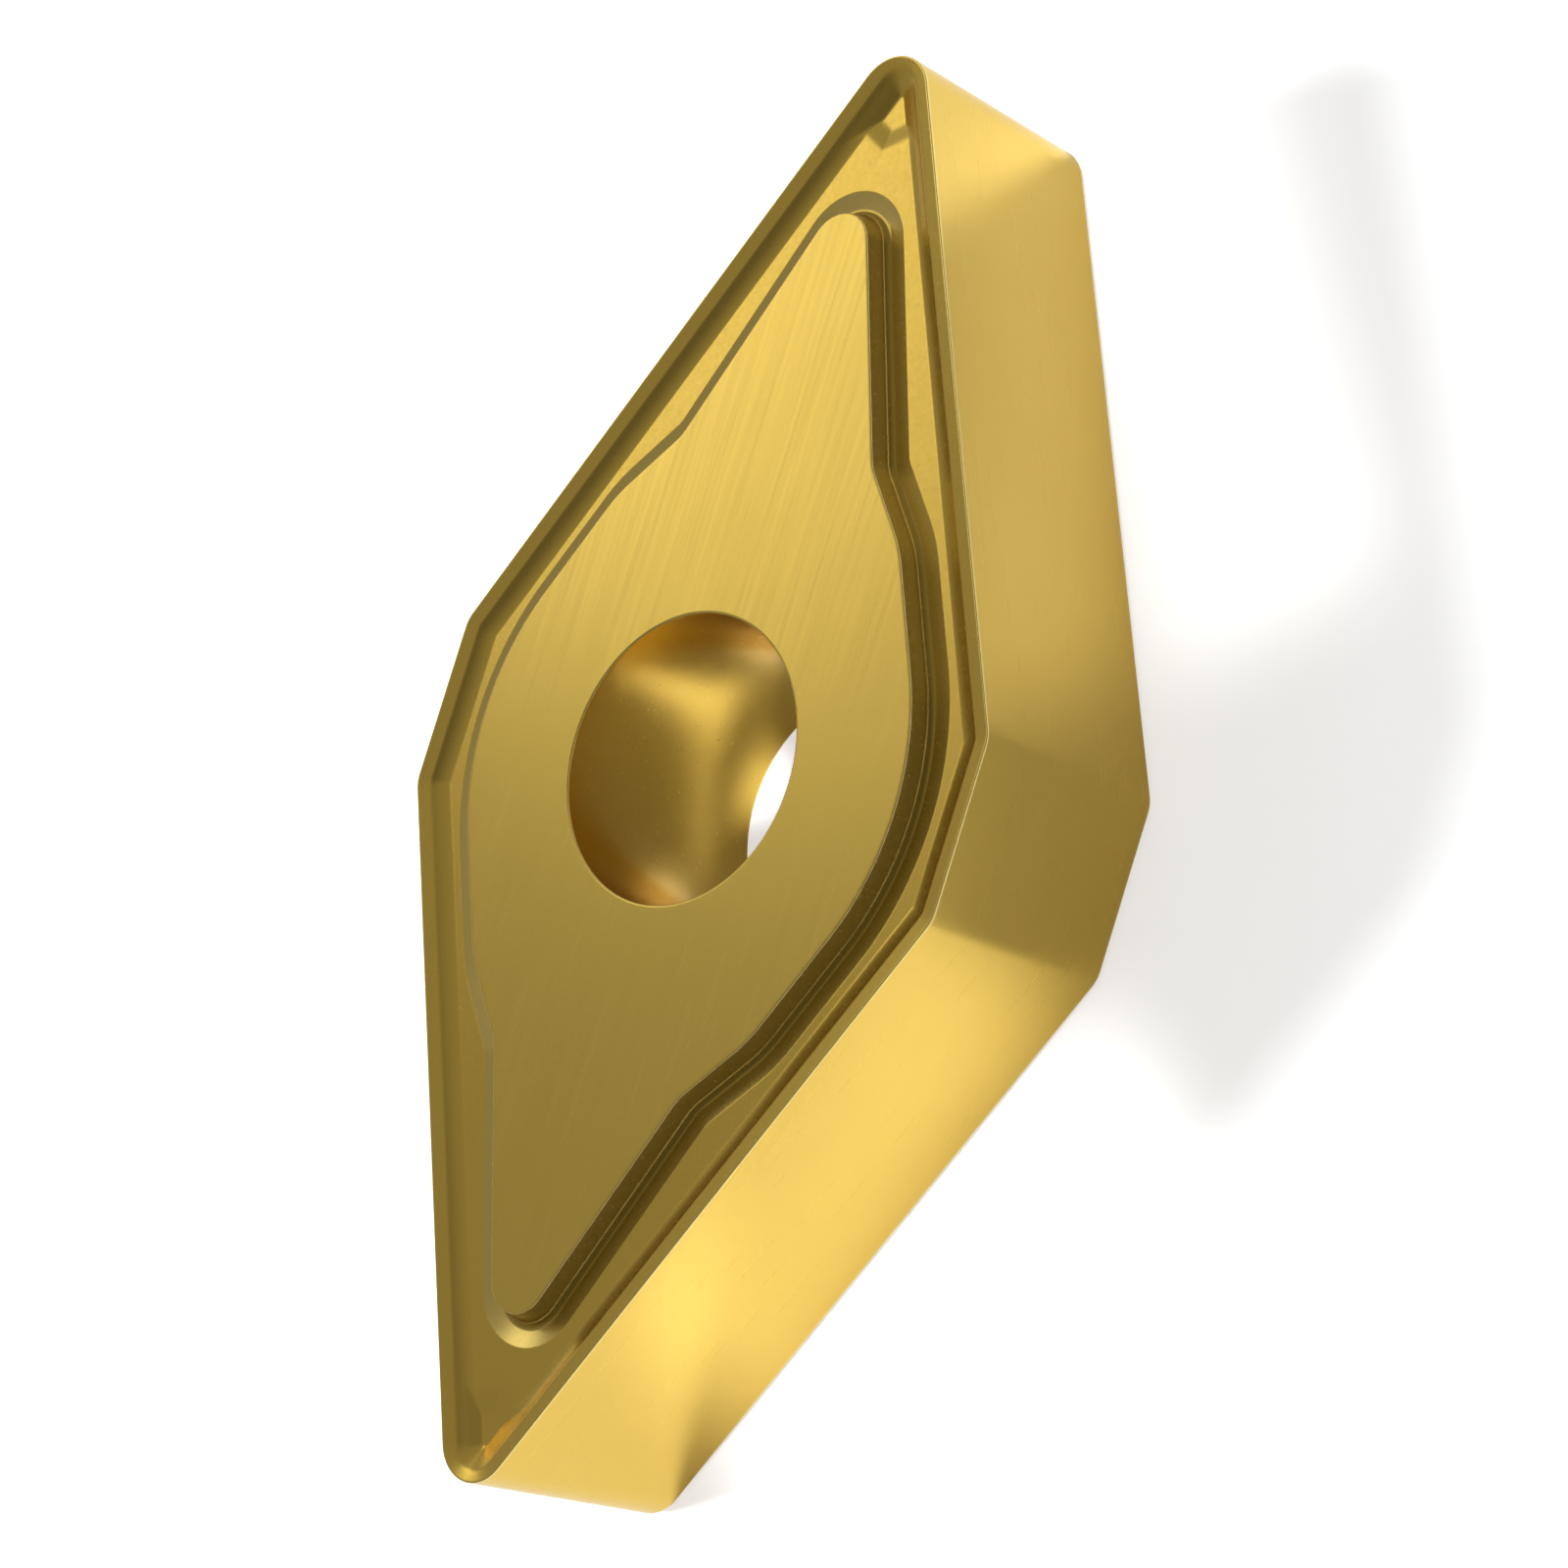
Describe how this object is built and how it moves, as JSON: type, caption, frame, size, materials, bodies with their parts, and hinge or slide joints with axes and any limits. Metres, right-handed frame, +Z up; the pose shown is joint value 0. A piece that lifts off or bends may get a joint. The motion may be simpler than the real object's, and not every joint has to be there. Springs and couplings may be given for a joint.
{
  "type": "carbide insert",
  "caption": "Double-sided rhombic turning insert with a 55 degree nose, rounded tips, blunted side corners, a chip groove behind the edges, a raised seat and a plain clamping hole.",
  "frame": {"origin": "on the axis of the clamping hole, in the plane of the lower seat", "axes": "+X along the long diagonal to one nose, +Y along the short diagonal, +Z up, out of the upper seat, along the hole"},
  "size_m": [0.0256, 0.0126, 0.0049],
  "materials": {
    "coated_carbide": "satin gold, titanium-nitride coated cemented carbide"
  },
  "bodies": {
    "root": {"carbide_insert": "coated_carbide"}
  },
  "joints": []
}
